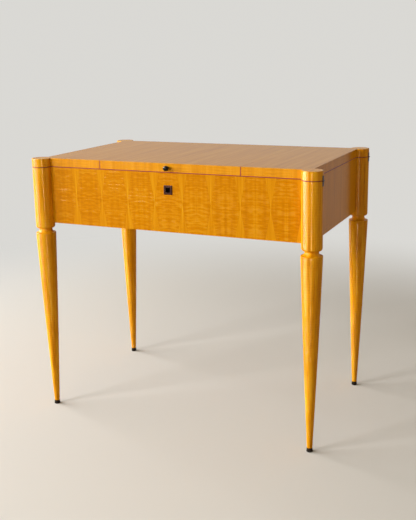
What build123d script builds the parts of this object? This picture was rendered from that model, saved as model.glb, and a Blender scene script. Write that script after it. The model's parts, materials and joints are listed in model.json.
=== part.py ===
from build123d import *
import os
from math import cos, radians, sin

# Poudreuse: a dressing table with three lids over three wells.
# Millimetres. X runs left to right, -Y is the front, +Z is up.
# The origin lies on the floor, under the middle of the table.

# ---------------------------------------------------------------- table
height = 750.0               # floor to the top of the lids
post_span_x = 800.0          # between the left and right post centres
post_span_y = 470.0          # between the front and rear post centres
post_radius = 27.0
face_inset = 3.0             # the boards' faces lie this far inside the post centres
lid_thickness = 25.0
lid_gap = 0.4                # lid underside above the case rim
split_span = 420.0           # between the two splits of the top
split_gap = 0.4              # air in each split
arris = 0.7                  # small flat planed along the lids' top edges

# ---------------------------------------------------------------- turned legs
post_drop = 7.5              # plain post below the lower edge of the boards
ovolo_height = 8.0           # rounded shoulder under the post
ovolo_foot_radius = 20.6
neck_radius = 18.3
neck_height = 4.5            # straight neck between shoulder and cove
cove_height = 8.6            # hollow that flares from the neck to the rim
rim_radius = 27.8            # sharp rim at the head of the tapering leg
rim_height = 1.6
taper_radius = 28.4          # widest turn of the leg, just under the rim
toe_radius = 7.3
entasis = 0.9                # swelling of the taper at half its length

# ---------------------------------------------------------------- glides
glide_height = 12.0
glide_radius = 8.6
glide_edge = 1.6
stem_radius = 3.0
stem_length = 16.0

# ---------------------------------------------------------------- case boards
apron_height = 161.0
apron_thickness = 18.0
tenon_thickness = 8.0
tenon_setback = 2.0          # tenon cheek behind the board's outer face
tenon_wall = 3.0             # wood left in the post between two mortises
tenon_length = 7.0
tenon_shoulder = 12.0        # above and below the tenon
housing_wall = 1.0           # wood between a side tenon and the end of a long board
bottom_thickness = 6.0
bottom_lift = 12.0           # underside of the bottom board above the apron edge
groove_depth = 5.0
groove_clearance = 0.2
partition_thickness = 12.0
dado_depth = 4.0
block_leg = 10.0             # sides of the triangular glue blocks
block_length = 60.0
block_spacing_x = 250.0
block_spacing_y = 220.0

# ---------------------------------------------------------------- stringing
string_height = 2.0
string_depth = 2.5

# ---------------------------------------------------------------- hinges
leaf_width = 11.0            # along the pin
leaf_height = 13.0           # from the pin to the leaf's far edge
leaf_thickness = 1.2
seat_depth = 1.0             # flat let into the post, cap, board or lid
pin_offset = 1.5             # pin centre outside the seat
knuckle_radius = 1.7
knuckle_length = 3.4         # each of the two lower knuckles
knuckle_gap = 0.3
pin_radius = 0.8
pin_clearance = 0.05
hinge_clearance = 0.3        # wood and leaves round the turning knuckles
rear_hinge_span = 280.0
screw_radius = 1.1
screw_head_radius = 2.0
screw_head_height = 1.2
screw_length = 8.0
screw_fit = 0.05

# ---------------------------------------------------------------- lock
lock_width = 54.0
lock_height = 62.0
lock_plate = 1.6             # walls of the lock case
lock_space = 6.0             # room for the bolt, front to back
cover_plate = 1.4
cover_lap = 6.0              # cover plate beyond the lock case, each side
keyhole_drop = 46.0          # keyhole below the case rim
keyhole_radius = 2.4
keyhole_width = 2.4
keyhole_length = 8.0
key_pin_radius = 1.0
bolt_width = 28.0
bolt_height = 26.0
bolt_thickness = 5.0
bolt_head_width = 20.0
bolt_throw = 6.0
bolt_recess = 0.5            # bolt head below the rim when it is drawn back
bolt_clearance = 0.4
guide_thickness = 3.0
talon_radius = 6.0           # notch that the key turns in
strike_length = 44.0
strike_width = 10.0
strike_thickness = 1.2
strike_depth = 1.0           # air over the thrown bolt
lock_screw_radius = 1.2
lock_screw_head_radius = 2.4
lock_screw_head_height = 1.4
lock_screw_length = 9.0

# ---------------------------------------------------------------- escutcheon
escutcheon_side = 25.0
escutcheon_thickness = 2.6
escutcheon_bevel = 1.4
escutcheon_dish_side = 14.0
escutcheon_dish_depth = 1.0

# ---------------------------------------------------------------- knob
knob_radius = 7.6
knob_reach = 9.5             # ball centre in front of the lid edge
knob_drop = 12.5             # knob centre below the top
knob_neck_radius = 3.0
knob_collar_radius = 4.6
knob_collar_thickness = 1.4
knob_stud_radius = 2.5
knob_stud_length = 14.0

# ---------------------------------------------------------------- mirror
mirror_margin = 14.0         # bead frame clear of the walls of the centre well
mirror_thickness = 3.0
bead_width = 12.0
bead_height = 5.5
bead_lap = 4.0               # bead over the mirror's edge
bead_round = 3.5
mitre_gap = 0.1

# ================================================================ worked out
post_x = post_span_x / 2
post_y = post_span_y / 2
face_x = post_x - face_inset
face_y = post_y - face_inset
inner_x = face_x - apron_thickness
inner_y = face_y - apron_thickness
lid_bottom = height - lid_thickness
rim_z = lid_bottom - lid_gap
apron_bottom = rim_z - apron_height
side_tenon_inner = tenon_setback + tenon_thickness
side_tenon_length = apron_thickness - side_tenon_inner - tenon_wall
long_apron_end = face_x - side_tenon_inner - housing_wall
panel_bottom = apron_bottom + bottom_lift
panel_top = panel_bottom + bottom_thickness
split_x = split_span / 2
hinge_z = (rim_z + lid_bottom) / 2
frame_half_x = split_x - partition_thickness / 2 - mirror_margin
frame_half_y = inner_y - mirror_margin
mirror_width = 2 * (frame_half_x - bead_width + bead_lap)
mirror_length = 2 * (frame_half_y - bead_width + bead_lap)
lock_depth = lock_plate + lock_space + cover_plate
lock_front_y = -inner_y - lock_depth
bolt_y = lock_front_y + lock_plate + lock_space / 2
keyhole_z = rim_z - keyhole_drop
knob_z = height - knob_drop

sides = {"left": -1, "right": 1}
corners = {"front_left": (-1, -1), "front_right": (1, -1),
           "rear_left": (-1, 1), "rear_right": (1, 1)}

os.makedirs("parts", exist_ok=True)


def save(piece, name):
    """Label a finished piece and write it as its own file."""
    piece.label = name
    export_step(piece, f"parts/{name}.step")


# ---------------------------------------------------------------- hinge places
# Each hinge has its own plane: origin at the middle of the pin, local X along
# the pin, local Y upwards, and local Z away from the table.
def side_hinge_planes(side):
    pin_x = side * (post_x + post_radius - seat_depth + pin_offset)
    return [Plane(origin=(pin_x, end * post_y, hinge_z), x_dir=(0, side, 0),
                  z_dir=(side, 0, 0)) for end in (-1, 1)]


def rear_hinge_planes():
    pin_y = face_y - seat_depth + pin_offset
    return [Plane(origin=(place * rear_hinge_span / 2, pin_y, hinge_z), x_dir=(-1, 0, 0),
                  z_dir=(0, 1, 0)) for place in (-1, 1)]


hinge_planes = {"left": side_hinge_planes(-1), "right": side_hinge_planes(1),
                "rear": rear_hinge_planes()}
leaf_start = knuckle_radius + hinge_clearance
screw_v = (leaf_start + leaf_height) / 2
leaf_face = leaf_thickness - pin_offset


def cut_hinge_seats(planes):
    """Flats, knuckle hollows and screw holes, above and below the joint."""
    with Locations(*planes):
        Box(leaf_width, 2 * leaf_height, 2 * pin_offset, mode=Mode.SUBTRACT)
        Cylinder(leaf_start, leaf_width, rotation=(0, 90, 0), mode=Mode.SUBTRACT)
        with Locations((0, -screw_v, -pin_offset), (0, screw_v, -pin_offset)):
            Cylinder(screw_radius + screw_fit, 2 * screw_length, mode=Mode.SUBTRACT)


def leaf_pair(planes, up, knuckles):
    """One leaf for each plane; up is 1 above the pin and -1 below it."""
    with BuildPart(*planes) as leaves:
        with Locations((0, up * (leaf_start + leaf_height) / 2, leaf_face - leaf_thickness / 2)):
            Box(leaf_width, leaf_height - leaf_start, leaf_thickness)
        for start, end in knuckles:
            with Locations(((start + end) / 2, up * leaf_start / 2,
                            leaf_face - leaf_thickness / 2)):
                Box(end - start, leaf_start, leaf_thickness)
            with Locations(((start + end) / 2, 0, 0)):
                Cylinder(knuckle_radius, end - start, rotation=(0, 90, 0))
        Cylinder(pin_radius + pin_clearance, 2 * leaf_width, rotation=(0, 90, 0),
                 mode=Mode.SUBTRACT)
        with Locations((0, up * screw_v, leaf_face)):
            cut_screw_hole(screw_radius, screw_head_radius, screw_head_height, leaf_thickness)
    return leaves.part


def cut_screw_hole(radius, head_radius, head_height, depth):
    """A countersunk hole that runs down from the place it is called at."""
    with Locations((0, 0, -head_height / 2)):
        Cone(radius + screw_fit, head_radius + screw_fit, head_height, mode=Mode.SUBTRACT)
    with Locations((0, 0, -depth)):
        Cylinder(radius + screw_fit, 2 * depth, mode=Mode.SUBTRACT)


def add_screw(radius, head_radius, head_height, length):
    """A countersunk screw, its head flush with the place it is called at."""
    with Locations((0, 0, -head_height / 2)):
        Cone(radius, head_radius, head_height)
    with Locations((0, 0, -(head_height + length) / 2)):
        Cylinder(radius, length - head_height)


def hinge_screws(planes, up):
    with BuildPart(*planes) as screws:
        with Locations((0, up * screw_v, leaf_face)):
            add_screw(screw_radius, screw_head_radius, screw_head_height, screw_length)
    return screws.part


lower_knuckles = [(-leaf_width / 2, -leaf_width / 2 + knuckle_length),
                  (leaf_width / 2 - knuckle_length, leaf_width / 2)]
upper_knuckles = [(-leaf_width / 2 + knuckle_length + knuckle_gap,
                   leaf_width / 2 - knuckle_length - knuckle_gap)]

for place, planes in hinge_planes.items():
    save(leaf_pair(planes, -1, lower_knuckles), f"{place}_hinge_case_leaves")
    save(leaf_pair(planes, 1, upper_knuckles), f"{place}_hinge_lid_leaves")
    save(hinge_screws(planes, -1), f"{place}_hinge_case_screws")
    save(hinge_screws(planes, 1), f"{place}_hinge_lid_screws")
    with BuildPart(*planes) as hinge_pins:
        Cylinder(pin_radius, leaf_width, rotation=(0, 90, 0))
    save(hinge_pins.part, f"{place}_hinge_pins")


# ---------------------------------------------------------------- case boards
def long_board(end, mode=Mode.ADD):
    """Front (-1) or rear (1) board, housed in two posts, with a tenon at each end."""
    middle_z = (apron_bottom + rim_z) / 2
    with Locations((0, end * (face_y + inner_y) / 2, middle_z)):
        Box(2 * long_apron_end, apron_thickness, apron_height, mode=mode)
    with Locations((0, end * (face_y - tenon_setback - tenon_thickness / 2), middle_z)):
        Box(2 * (long_apron_end + tenon_length), tenon_thickness,
            apron_height - 2 * tenon_shoulder, mode=mode)


def side_board(side, mode=Mode.ADD):
    """Left (-1) or right (1) board between the front and rear boards."""
    middle_z = (apron_bottom + rim_z) / 2
    with Locations((side * (face_x + inner_x) / 2, 0, middle_z)):
        Box(apron_thickness, 2 * inner_y, apron_height, mode=mode)
    with Locations((side * (face_x - tenon_setback - tenon_thickness / 2), 0, middle_z)):
        Box(tenon_thickness, 2 * (inner_y + side_tenon_length),
            apron_height - 2 * tenon_shoulder, mode=mode)


def cut_bottom_groove():
    """Groove round the inside of the case for the bottom board."""
    with Locations((0, 0, (panel_bottom + panel_top) / 2)):
        Box(2 * (inner_x + groove_depth), 2 * (inner_y + groove_depth), bottom_thickness,
            mode=Mode.SUBTRACT)


def partition(side, mode=Mode.ADD):
    """Upright board under one split of the top."""
    with Locations((side * split_x, 0, (panel_top + rim_z) / 2)):
        Box(partition_thickness, 2 * (inner_y + dado_depth), rim_z - panel_top, mode=mode)


with BuildPart() as rear_apron:
    long_board(1)
    cut_bottom_groove()
    partition(-1, Mode.SUBTRACT)
    partition(1, Mode.SUBTRACT)
    cut_hinge_seats(hinge_planes["rear"])
save(rear_apron.part, "rear_apron")


def keyhole(y_from, y_to, mode=Mode.SUBTRACT):
    """Round eye with a slot below it, along Y."""
    with BuildSketch(Plane.XZ.offset(-y_from)) as opening:
        with Locations((0, keyhole_z)):
            Circle(keyhole_radius)
        with Locations((0, keyhole_z - keyhole_length / 2)):
            Rectangle(keyhole_width, keyhole_length)
    extrude(opening.sketch, amount=y_from - y_to, mode=mode)


cover_width = lock_width + 2 * cover_lap
lock_bottom = rim_z - lock_height
lock_screw_points = [(x * (lock_width + cover_lap) / 2, z) for x in (-1, 1)
                     for z in (lock_bottom + cover_lap, rim_z - cover_lap)]
cover_plane = Plane(origin=(0, -inner_y, 0), x_dir=(-1, 0, 0), z_dir=(0, 1, 0))

with BuildPart() as front_apron:
    long_board(-1)
    cut_bottom_groove()
    partition(-1, Mode.SUBTRACT)
    partition(1, Mode.SUBTRACT)
    with Locations((0, lock_front_y + lock_depth / 2, rim_z - lock_height / 2)):
        Box(lock_width, lock_depth, lock_height, mode=Mode.SUBTRACT)
    with Locations((0, -inner_y - cover_plate / 2, rim_z - lock_height / 2)):
        Box(cover_width, cover_plate, lock_height, mode=Mode.SUBTRACT)
    keyhole(-face_y, lock_front_y)
    with Locations(cover_plane):
        with Locations(*[(x, z, 0) for x, z in lock_screw_points]):
            Cylinder(lock_screw_radius + screw_fit, 2 * lock_screw_length, mode=Mode.SUBTRACT)
save(front_apron.part, "front_apron")

for name, side in sides.items():
    with BuildPart() as side_apron:
        side_board(side)
        cut_bottom_groove()
    save(side_apron.part, f"{name}_apron")
    with BuildPart() as partition_board:
        partition(side)
    save(partition_board.part, f"{name}_partition")

with BuildPart() as case_bottom:
    with Locations((0, 0, (panel_bottom + panel_top) / 2)):
        Box(2 * (inner_x + groove_depth - groove_clearance),
            2 * (inner_y + groove_depth - groove_clearance), bottom_thickness)
    with Locations(*[(x * post_x, y * post_y, panel_bottom) for x, y in corners.values()]):
        Cylinder(post_radius + groove_clearance, 4 * bottom_thickness, mode=Mode.SUBTRACT)
save(case_bottom.part, "case_bottom")


def block_profile(start, towards):
    """Right-angled triangle under the bottom board, its upright side at start."""
    with BuildLine() as outline:
        Polyline((start, panel_bottom), (start + towards * block_leg, panel_bottom),
                 (start, panel_bottom - block_leg), close=True)
    make_face(outline.edges())


with BuildPart() as glue_blocks:
    for end in (-1, 1):
        for place in (-1, 0, 1):
            with BuildSketch(Plane.YZ.offset(place * block_spacing_x - block_length / 2)):
                block_profile(end * inner_y, -end)
            extrude(amount=block_length)
    for side in (-1, 1):
        for place in (-0.5, 0.5):
            with BuildSketch(Plane.XZ.offset(place * block_spacing_y - block_length / 2)):
                block_profile(side * inner_x, -side)
            extrude(amount=block_length)
save(glue_blocks.part, "glue_blocks")

# ---------------------------------------------------------------- legs and glides
ovolo_top = apron_bottom - post_drop
ovolo_bottom = ovolo_top - ovolo_height
cove_top = ovolo_bottom - neck_height
cove_bottom = cove_top - cove_height
taper_top = cove_bottom - rim_height
quarter = radians(45)
ovolo_bulge = (ovolo_foot_radius + (post_radius - ovolo_foot_radius) * cos(quarter),
               ovolo_top - ovolo_height * sin(quarter))
cove_hollow = (rim_radius - (rim_radius - neck_radius) * cos(quarter),
               cove_top - cove_height * sin(quarter))
taper_swell = ((taper_radius + toe_radius) / 2 + entasis, (taper_top + glide_height) / 2)

for name, (side, end) in corners.items():
    foot = (side * post_x, end * post_y, 0)
    turning_axis = Axis(foot, (0, 0, 1))
    turning_plane = Plane(origin=foot, x_dir=(1, 0, 0), z_dir=(0, -1, 0))
    with BuildPart() as leg:
        with BuildSketch(turning_plane):
            with BuildLine():
                Polyline((0, glide_height), (0, rim_z), (post_radius, rim_z),
                         (post_radius, ovolo_top))
                ThreePointArc((post_radius, ovolo_top), ovolo_bulge,
                              (ovolo_foot_radius, ovolo_bottom))
                Polyline((ovolo_foot_radius, ovolo_bottom), (neck_radius, ovolo_bottom),
                         (neck_radius, cove_top))
                ThreePointArc((neck_radius, cove_top), cove_hollow, (rim_radius, cove_bottom))
                Line((rim_radius, cove_bottom), (taper_radius, taper_top))
                ThreePointArc((taper_radius, taper_top), taper_swell, (toe_radius, glide_height))
                Line((toe_radius, glide_height), (0, glide_height))
            make_face()
        revolve(axis=turning_axis)
        long_board(end, Mode.SUBTRACT)
        side_board(side, Mode.SUBTRACT)
        cut_hinge_seats(hinge_planes["left" if side < 0 else "right"])
        with Locations((foot[0], foot[1], glide_height)):
            Cylinder(stem_radius + screw_fit, 2 * stem_length, mode=Mode.SUBTRACT)
    save(leg.part, f"{name}_leg")

    with BuildPart() as glide:
        with BuildSketch(turning_plane):
            with BuildLine():
                Polyline((glide_radius - glide_edge, 0), (0, 0), (0, glide_height + stem_length),
                         (stem_radius, glide_height + stem_length),
                         (stem_radius, glide_height), (toe_radius, glide_height),
                         (glide_radius, glide_edge), close=True)
            make_face()
        revolve(axis=turning_axis)
    save(glide.part, f"{name}_glide")

# ---------------------------------------------------------------- side lids
for name, side in sides.items():
    lid_end = side * (split_x + split_gap / 2)

    def side_lid_plan(inset, mode=Mode.ADD):
        """Board with a round ear over each post, drawn in by inset outside."""
        with Locations(((side * (face_x - inset) + lid_end) / 2, 0)):
            Rectangle(abs(side * (face_x - inset) - lid_end), 2 * (face_y - inset), mode=mode)
        with Locations((side * post_x, -post_y), (side * post_x, post_y)):
            Circle(post_radius - inset, mode=mode)

    with BuildPart() as blank:
        with BuildSketch(Plane.XY.offset(lid_bottom)):
            side_lid_plan(0)
        extrude(amount=lid_thickness)
        top_edges = blank.faces().sort_by(Axis.Z)[-1].edges()
        chamfer(top_edges.filter_by(lambda edge: abs(edge.center().X - lid_end) > arris), arris)
        cut_hinge_seats(hinge_planes[name])

    with BuildPart() as line_zone:
        with BuildSketch(Plane.XY.offset(lid_bottom)):
            side_lid_plan(0)
            side_lid_plan(string_depth, Mode.SUBTRACT)
        extrude(amount=string_height)

    with BuildPart() as lid_line:
        add(blank.part)
        add(line_zone.part, mode=Mode.INTERSECT)
    save(lid_line.part, f"{name}_lid_stringing")

    with BuildPart() as lid_caps:
        add(blank.part)
        add(line_zone.part, mode=Mode.SUBTRACT)
        with Locations((side * post_x, -post_y, height), (side * post_x, post_y, height)):
            Cylinder(post_radius, 4 * lid_thickness, mode=Mode.INTERSECT)
    save(lid_caps.part, f"{name}_lid_caps")

    with BuildPart() as lid_panel:
        add(blank.part)
        add(line_zone.part, mode=Mode.SUBTRACT)
        with Locations((side * post_x, -post_y, height), (side * post_x, post_y, height)):
            Cylinder(post_radius, 4 * lid_thickness, mode=Mode.SUBTRACT)
    save(lid_panel.part, f"{name}_lid_panel")

# ---------------------------------------------------------------- centre lid
centre_width = split_span - split_gap
strike_z = lid_bottom + strike_thickness
pocket_depth = bolt_throw - bolt_recess - lid_gap + strike_depth
screw_spread = (strike_length + bolt_head_width) / 4
strike_plane = Plane(origin=(0, bolt_y, lid_bottom), x_dir=(1, 0, 0), z_dir=(0, 0, -1))

with BuildPart() as centre_blank:
    with Locations((0, 0, lid_bottom + lid_thickness / 2)):
        Box(centre_width, 2 * face_y, lid_thickness)
    chamfer(centre_blank.edges().filter_by(Axis.X).group_by(Axis.Z)[-1], arris)
    cut_hinge_seats(hinge_planes["rear"])

with BuildPart() as centre_line_zone:
    for end in (-1, 1):
        strip_y = end * (face_y - string_depth / 2)
        with Locations((0, strip_y, lid_bottom + string_height / 2)):
            Box(centre_width, string_depth, string_height)
        for side in (-1, 1):
            strip_x = side * (centre_width - string_height) / 2
            with Locations((strip_x, strip_y, lid_bottom + lid_thickness / 2)):
                Box(string_height, string_depth, lid_thickness)

with BuildPart() as centre_lid_stringing:
    add(centre_blank.part)
    add(centre_line_zone.part, mode=Mode.INTERSECT)
save(centre_lid_stringing.part, "centre_lid_stringing")

with BuildPart() as centre_lid_panel:
    add(centre_blank.part)
    add(centre_line_zone.part, mode=Mode.SUBTRACT)
    with Locations((0, 0, lid_bottom + mirror_thickness / 2)):
        Box(mirror_width, mirror_length, mirror_thickness, mode=Mode.SUBTRACT)
    with Locations((0, bolt_y, lid_bottom + strike_thickness / 2)):
        Box(strike_length, strike_width, strike_thickness, mode=Mode.SUBTRACT)
    with Locations((0, bolt_y, lid_bottom + pocket_depth / 2)):
        Box(bolt_head_width + 2 * bolt_clearance, bolt_thickness + 2 * bolt_clearance,
            pocket_depth, mode=Mode.SUBTRACT)
    with Locations((-screw_spread, bolt_y, strike_z), (screw_spread, bolt_y, strike_z)):
        Cylinder(screw_radius + screw_fit, 2 * screw_length, mode=Mode.SUBTRACT)
    with Locations((0, -face_y, knob_z)):
        Cylinder(knob_stud_radius + screw_fit, 2 * knob_stud_length, rotation=(90, 0, 0),
                 mode=Mode.SUBTRACT)
save(centre_lid_panel.part, "centre_lid_panel")

with BuildPart() as lock_strike:
    with Locations((0, bolt_y, lid_bottom + strike_thickness / 2)):
        Box(strike_length, strike_width, strike_thickness)
        Box(bolt_head_width + 2 * bolt_clearance, bolt_thickness + 2 * bolt_clearance,
            2 * strike_thickness, mode=Mode.SUBTRACT)
    with Locations(strike_plane):
        with Locations((-screw_spread, 0, 0), (screw_spread, 0, 0)):
            cut_screw_hole(screw_radius, screw_head_radius, screw_head_height, strike_thickness)
save(lock_strike.part, "lock_strike")

with BuildPart(strike_plane) as strike_screws:
    with Locations((-screw_spread, 0, 0), (screw_spread, 0, 0)):
        add_screw(screw_radius, screw_head_radius, screw_head_height, screw_length)
save(strike_screws.part, "strike_screws")

with BuildPart() as lid_mirror:
    with Locations((0, 0, lid_bottom + mirror_thickness / 2)):
        Box(mirror_width, mirror_length, mirror_thickness)
save(lid_mirror.part, "lid_mirror")


def mitred_bead(half_length, half_reach):
    """Plan of one bead: half_length along it, half_reach out to its outer edge."""
    inner_half = half_length - bead_width
    with BuildLine() as outline:
        Polyline((mitre_gap - half_length, half_reach), (half_length - mitre_gap, half_reach),
                 (inner_half - mitre_gap, half_reach - bead_width),
                 (mitre_gap - inner_half, half_reach - bead_width), close=True)
    make_face(outline.edges())


with BuildPart() as mirror_beads:
    for turn in (0, 90, 180, 270):
        across = turn % 180 == 0
        half_length = frame_half_x if across else frame_half_y
        half_reach = frame_half_y if across else frame_half_x
        with BuildSketch(Plane.XY.offset(lid_bottom - bead_height).rotated((0, 0, turn))):
            mitred_bead(half_length, half_reach)
        extrude(amount=bead_height)
    lower_edges = mirror_beads.edges().group_by(Axis.Z)[0]
    straight_edges = lower_edges.filter_by(Axis.X) + lower_edges.filter_by(Axis.Y)
    inner_edges = straight_edges.filter_by(
        lambda edge: abs(edge.center().X) < frame_half_x - bead_width / 2
        and abs(edge.center().Y) < frame_half_y - bead_width / 2)
    fillet(inner_edges, bead_round)
save(mirror_beads.part, "mirror_beads")

with BuildPart() as lid_knob:
    with BuildSketch(Plane.XY.offset(knob_z)):
        with Locations((0, -face_y - knob_reach)):
            Circle(knob_radius)
        with Locations((0, -face_y - knob_collar_thickness / 2)):
            Rectangle(2 * knob_collar_radius, knob_collar_thickness)
        with Locations((0, -face_y - knob_reach / 2)):
            Rectangle(2 * knob_neck_radius, knob_reach)
        with Locations((0, -face_y + knob_stud_length / 2)):
            Rectangle(2 * knob_stud_radius, knob_stud_length)
        split(bisect_by=Plane.YZ)
    revolve(axis=Axis((0, 0, knob_z), (0, 1, 0)))
save(lid_knob.part, "lid_knob")

# ---------------------------------------------------------------- lock
bolt_top = rim_z - bolt_recess
shoulder_z = rim_z - lock_plate - bolt_throw - bolt_clearance
bolt_bottom = shoulder_z - bolt_height
inner_lock_height = lock_height - 2 * lock_plate
guide_x = bolt_width / 2 + bolt_clearance + guide_thickness / 2
lock_middle_y = lock_front_y + (lock_plate + lock_space) / 2

with BuildPart() as lock_case:
    with Locations((0, lock_middle_y, rim_z - lock_height / 2)):
        Box(lock_width, lock_plate + lock_space, lock_height)
    with Locations((0, bolt_y, rim_z - lock_height / 2)):
        Box(lock_width - 2 * lock_plate, lock_space, inner_lock_height, mode=Mode.SUBTRACT)
    for side in (-1, 1):
        with Locations((side * guide_x, bolt_y, (bolt_bottom + shoulder_z) / 2)):
            Box(guide_thickness, lock_space, bolt_height)
        with Locations((side * (guide_x - guide_thickness), bolt_y,
                        bolt_bottom - bolt_clearance - guide_thickness / 2)):
            Box(2 * guide_thickness, lock_space, guide_thickness)
    with Locations((0, bolt_y, rim_z)):
        Box(bolt_head_width + 2 * bolt_clearance, bolt_thickness + 2 * bolt_clearance,
            4 * lock_plate, mode=Mode.SUBTRACT)
    keyhole(lock_front_y, lock_front_y + lock_plate)
save(lock_case.part, "lock_case")

with BuildPart() as lock_cover:
    with Locations((0, -inner_y - cover_plate / 2, rim_z - lock_height / 2)):
        Box(cover_width, cover_plate, lock_height)
    with Locations(cover_plane):
        with Locations(*[(x, z, 0) for x, z in lock_screw_points]):
            cut_screw_hole(lock_screw_radius, lock_screw_head_radius,
                           lock_screw_head_height, cover_plate)
save(lock_cover.part, "lock_cover")

with BuildPart(cover_plane) as lock_screws:
    with Locations(*[(x, z, 0) for x, z in lock_screw_points]):
        add_screw(lock_screw_radius, lock_screw_head_radius, lock_screw_head_height,
                   lock_screw_length)
save(lock_screws.part, "lock_screws")

with BuildPart(Plane(origin=(0, -inner_y - cover_plate, keyhole_z), z_dir=(0, -1, 0))) as key_pin:
    Cylinder(key_pin_radius, lock_space + lock_plate,
             align=(Align.CENTER, Align.CENTER, Align.MIN))
save(key_pin.part, "lock_drill_pin")

with BuildPart() as lock_bolt:
    with Locations((0, bolt_y, (bolt_bottom + shoulder_z) / 2)):
        Box(bolt_width, bolt_thickness, bolt_height)
    with Locations((0, bolt_y, (shoulder_z + bolt_top) / 2)):
        Box(bolt_head_width, bolt_thickness, bolt_top - shoulder_z)
    with Locations((0, bolt_y, bolt_bottom)):
        Cylinder(talon_radius, 2 * bolt_thickness, rotation=(90, 0, 0), mode=Mode.SUBTRACT)
save(lock_bolt.part, "lock_bolt")

# ---------------------------------------------------------------- escutcheon
with BuildPart() as escutcheon:
    with BuildSketch(Plane.XZ.offset(face_y)):
        with Locations((0, keyhole_z)):
            Rectangle(escutcheon_side, escutcheon_side)
    extrude(amount=escutcheon_thickness)
    front_face = escutcheon.faces().sort_by(Axis.Y)[0]
    chamfer(front_face.edges(), escutcheon_bevel)
    with BuildSketch(Plane.XZ.offset(face_y + escutcheon_thickness)):
        with Locations((0, keyhole_z)):
            Rectangle(escutcheon_dish_side, escutcheon_dish_side)
    extrude(amount=-escutcheon_dish_depth, mode=Mode.SUBTRACT)
    keyhole(-face_y - escutcheon_thickness, -face_y)
save(escutcheon.part, "escutcheon")
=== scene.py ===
# %% [markdown]
# # A poudreuse, dressed for its portrait
#
# A poudreuse is a small dressing table. Three lids lie flush in its top: the two side lids
# turn outwards on hinges at the corner posts, and the middle one lifts and carries a mirror
# on its underside. Every solid piece is already drawn at its real size in the CAD model.
# This notebook gives those pieces their finish: honey sycamore under a gloss varnish,
# a thin purple line of amaranth, bronzed hinges and a black turned knob.
#
# The model is loaded once and stays fixed. The pieces keep their places, so a finish is
# painted on by giving each piece a material. Only the screws are drawn again, with slots.

# %% Load the table
import json
import math

import bmesh
import bpy
from mathutils import Matrix, Vector


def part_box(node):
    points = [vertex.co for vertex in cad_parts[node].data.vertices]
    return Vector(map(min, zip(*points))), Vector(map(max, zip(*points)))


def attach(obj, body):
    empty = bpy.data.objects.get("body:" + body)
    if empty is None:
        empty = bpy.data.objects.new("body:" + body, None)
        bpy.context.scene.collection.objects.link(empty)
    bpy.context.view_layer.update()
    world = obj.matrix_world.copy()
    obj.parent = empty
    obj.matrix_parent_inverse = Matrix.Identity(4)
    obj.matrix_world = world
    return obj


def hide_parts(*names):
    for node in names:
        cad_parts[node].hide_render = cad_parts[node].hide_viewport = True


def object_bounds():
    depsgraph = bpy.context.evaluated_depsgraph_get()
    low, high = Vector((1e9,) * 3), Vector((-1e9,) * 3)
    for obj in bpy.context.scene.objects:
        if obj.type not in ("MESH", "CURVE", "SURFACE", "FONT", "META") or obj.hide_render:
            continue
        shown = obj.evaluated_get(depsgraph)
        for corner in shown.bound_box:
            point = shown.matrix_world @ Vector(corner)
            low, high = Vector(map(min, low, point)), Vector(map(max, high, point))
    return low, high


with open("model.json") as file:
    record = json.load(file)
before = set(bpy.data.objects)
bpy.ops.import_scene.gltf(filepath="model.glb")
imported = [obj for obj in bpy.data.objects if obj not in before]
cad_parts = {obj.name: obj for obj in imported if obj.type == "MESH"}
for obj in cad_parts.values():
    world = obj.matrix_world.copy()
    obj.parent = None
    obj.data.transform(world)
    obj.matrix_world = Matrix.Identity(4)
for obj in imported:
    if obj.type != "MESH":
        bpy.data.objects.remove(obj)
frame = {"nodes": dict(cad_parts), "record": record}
pieces = frame["nodes"]
cad_box = [list(corner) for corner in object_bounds()]
table_height = cad_box[1][2]
print(f"{len(pieces)} pieces, {table_height:.3f} m high")

# %% [markdown]
# ## The camera
#
# The table is seen from about a metre above the floor, to the right of its middle and a
# little over two metres away. A camera can be aimed with a constraint, but here its angles
# are known, so three plain turns are chained: turn left, look down, and a touch of roll.
# The lens is worked out from a focal length in pixels, because a frame 520 pixels tall
# matches the 36 mm side of the sensor. A small shift of the lens sets the table in the frame.

# %% Place the camera
camera_place = Vector((0.9713, -2.0938, 1.0351))
turn_left = math.radians(24.362)
raised_level = math.radians(90)     # an unturned camera looks at the floor
look_down = math.radians(13.117)
roll = math.radians(-1.010)
frame_tall = 520
focal_pixels = 797.8
sensor = 36.0
shift_across, shift_along = -0.0092, -0.0430

camera_data = bpy.data.cameras.new("portrait_camera")
camera_data.sensor_width = sensor
camera_data.lens = focal_pixels / frame_tall * sensor
camera_data.shift_x = shift_across
camera_data.shift_y = shift_along
camera = bpy.data.objects.new("portrait_camera", camera_data)
bpy.context.scene.collection.objects.link(camera)
camera.matrix_world = (Matrix.Translation(camera_place)
                       @ Matrix.Rotation(turn_left, 4, "Z")
                       @ Matrix.Rotation(raised_level - look_down, 4, "X")
                       @ Matrix.Rotation(roll, 4, "Z"))
bpy.context.scene.camera = camera
print(f"lens {camera_data.lens:.1f} mm")

# %% [markdown]
# ## A few words for building finishes
#
# A procedural finish is a small network of nodes. Wiring nodes one by one takes many lines,
# so a few helpers do it. `new_finish` starts a material, `add` places a node and fills its
# inputs, `calc` is a sum on numbers, and `vector` is a sum on places or directions. An input
# is either a plain value, which is set, or the output of another node, which is linked.

# %% Helpers that wire nodes
def new_finish(name):
    """A new material, its node tree and its shader."""
    finish = bpy.data.materials.new(name)
    finish.use_nodes = True
    return finish, finish.node_tree, finish.node_tree.nodes["Principled BSDF"]


def fill(tree, node, inputs):
    """Sets each input to a value, or links it to another node's output."""
    for key, value in inputs.items():
        if isinstance(value, bpy.types.NodeSocket):
            tree.links.new(value, node.inputs[key])
        else:
            node.inputs[key].default_value = value


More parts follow.
